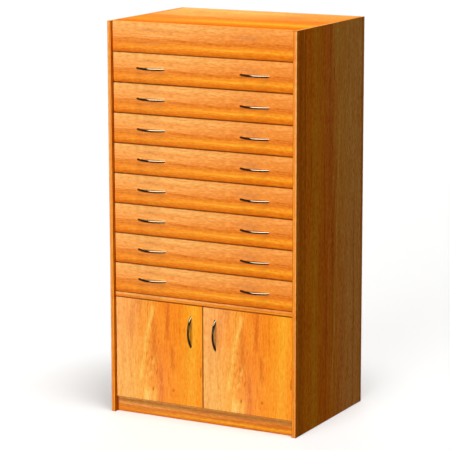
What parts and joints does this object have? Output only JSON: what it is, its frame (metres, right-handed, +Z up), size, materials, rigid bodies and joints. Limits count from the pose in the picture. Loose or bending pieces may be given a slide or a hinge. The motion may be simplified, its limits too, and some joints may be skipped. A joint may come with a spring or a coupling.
{
  "type": "paper drawer cabinet",
  "caption": "Tall laminate cabinet with a stack of wide shallow drawers for large sheets of paper above a low cupboard with a pair of doors, all with bow handles.",
  "frame": {"origin": "on the floor, under the middle of the outer box of the whole cabinet, handles included", "axes": "+Z up; the front with its drawers and doors faces -Y; +X to the right as seen from the front"},
  "size_m": [0.95, 0.704, 1.81],
  "materials": {
    "laminate": "satin laminate, warm orange pear wood print with darker streaks",
    "drawer_board": "satin laminate on drawer walls, with painted steel rails",
    "hardboard": "brown hardboard, smooth",
    "chrome": "polished chrome plating",
    "steel": "nickel plated pressed steel",
    "runner_paint": "off-white powder coat"
  },
  "bodies": {
    "root": {"side_panel_left": "laminate", "side_panel_right": "laminate", "top_board": "laminate", "fascia_panel": "laminate", "divider_board": "laminate", "bottom_board": "laminate", "plinth_board": "laminate", "inner_shelf": "laminate", "back_panel": "hardboard", "runner_rack_left": "runner_paint", "hinge_arm_left_upper": "steel", "hinge_arm_left_lower": "steel", "runner_rack_right": "runner_paint", "hinge_arm_right_upper": "steel", "hinge_arm_right_lower": "steel"},
    "drawer_1": {"drawer_front_1": "laminate", "drawer_box_1": "drawer_board", "handle_1_left": "chrome", "handle_1_right": "chrome"},
    "drawer_2": {"drawer_front_2": "laminate", "drawer_box_2": "drawer_board", "handle_2_left": "chrome", "handle_2_right": "chrome"},
    "drawer_3": {"drawer_front_3": "laminate", "drawer_box_3": "drawer_board", "handle_3_left": "chrome", "handle_3_right": "chrome"},
    "drawer_4": {"drawer_front_4": "laminate", "drawer_box_4": "drawer_board", "handle_4_left": "chrome", "handle_4_right": "chrome"},
    "drawer_5": {"drawer_front_5": "laminate", "drawer_box_5": "drawer_board", "handle_5_left": "chrome", "handle_5_right": "chrome"},
    "drawer_6": {"drawer_front_6": "laminate", "drawer_box_6": "drawer_board", "handle_6_left": "chrome", "handle_6_right": "chrome"},
    "drawer_7": {"drawer_front_7": "laminate", "drawer_box_7": "drawer_board", "handle_7_left": "chrome", "handle_7_right": "chrome"},
    "drawer_8": {"drawer_front_8": "laminate", "drawer_box_8": "drawer_board", "handle_8_left": "chrome", "handle_8_right": "chrome"},
    "door_left_leaf": {"door_left": "laminate", "door_handle_left": "chrome", "hinge_cup_left_upper": "steel", "hinge_cup_left_lower": "steel"},
    "hinge_links_left": {"hinge_link_left_upper": "steel", "hinge_link_left_lower": "steel"},
    "door_right_leaf": {"door_right": "laminate", "door_handle_right": "chrome", "hinge_cup_right_upper": "steel", "hinge_cup_right_lower": "steel"},
    "hinge_links_right": {"hinge_link_right_upper": "steel", "hinge_link_right_lower": "steel"}
  },
  "joints": [
    {"name": "drawer_1_slide", "type": "slide", "parent": "root", "child": "drawer_1", "axis": [0, -1, 0], "range_m": [0, 0.45]},
    {"name": "drawer_2_slide", "type": "slide", "parent": "root", "child": "drawer_2", "axis": [0, -1, 0], "range_m": [0, 0.45]},
    {"name": "drawer_3_slide", "type": "slide", "parent": "root", "child": "drawer_3", "axis": [0, -1, 0], "range_m": [0, 0.45]},
    {"name": "drawer_4_slide", "type": "slide", "parent": "root", "child": "drawer_4", "axis": [0, -1, 0], "range_m": [0, 0.45]},
    {"name": "drawer_5_slide", "type": "slide", "parent": "root", "child": "drawer_5", "axis": [0, -1, 0], "range_m": [0, 0.45]},
    {"name": "drawer_6_slide", "type": "slide", "parent": "root", "child": "drawer_6", "axis": [0, -1, 0], "range_m": [0, 0.45]},
    {"name": "drawer_7_slide", "type": "slide", "parent": "root", "child": "drawer_7", "axis": [0, -1, 0], "range_m": [0, 0.45]},
    {"name": "drawer_8_slide", "type": "slide", "parent": "root", "child": "drawer_8", "axis": [0, -1, 0], "range_m": [0, 0.45]},
    {"name": "door_left_hinge", "type": "hinge", "parent": "root", "child": "door_left_leaf", "pos_m": [-0.451, -0.3222, 0.308], "axis": [0, 0, -1], "range_deg": [0, 90]},
    {"name": "hinge_links_left_turn", "type": "hinge", "parent": "root", "child": "hinge_links_left", "pos_m": [-0.4515, -0.3005, 0.308], "axis": [0, 0, -1], "range_deg": [0, 58.5]},
    {"name": "door_right_hinge", "type": "hinge", "parent": "root", "child": "door_right_leaf", "pos_m": [0.451, -0.3222, 0.308], "axis": [0, 0, 1], "range_deg": [0, 90]},
    {"name": "hinge_links_right_turn", "type": "hinge", "parent": "root", "child": "hinge_links_right", "pos_m": [0.4515, -0.3005, 0.308], "axis": [0, 0, 1], "range_deg": [0, 58.5]}
  ],
  "couplings": [
    {"joint": "hinge_links_left_turn", "follows": "door_left_hinge", "ratio": 0.65},
    {"joint": "hinge_links_right_turn", "follows": "door_right_hinge", "ratio": 0.65}
  ]
}
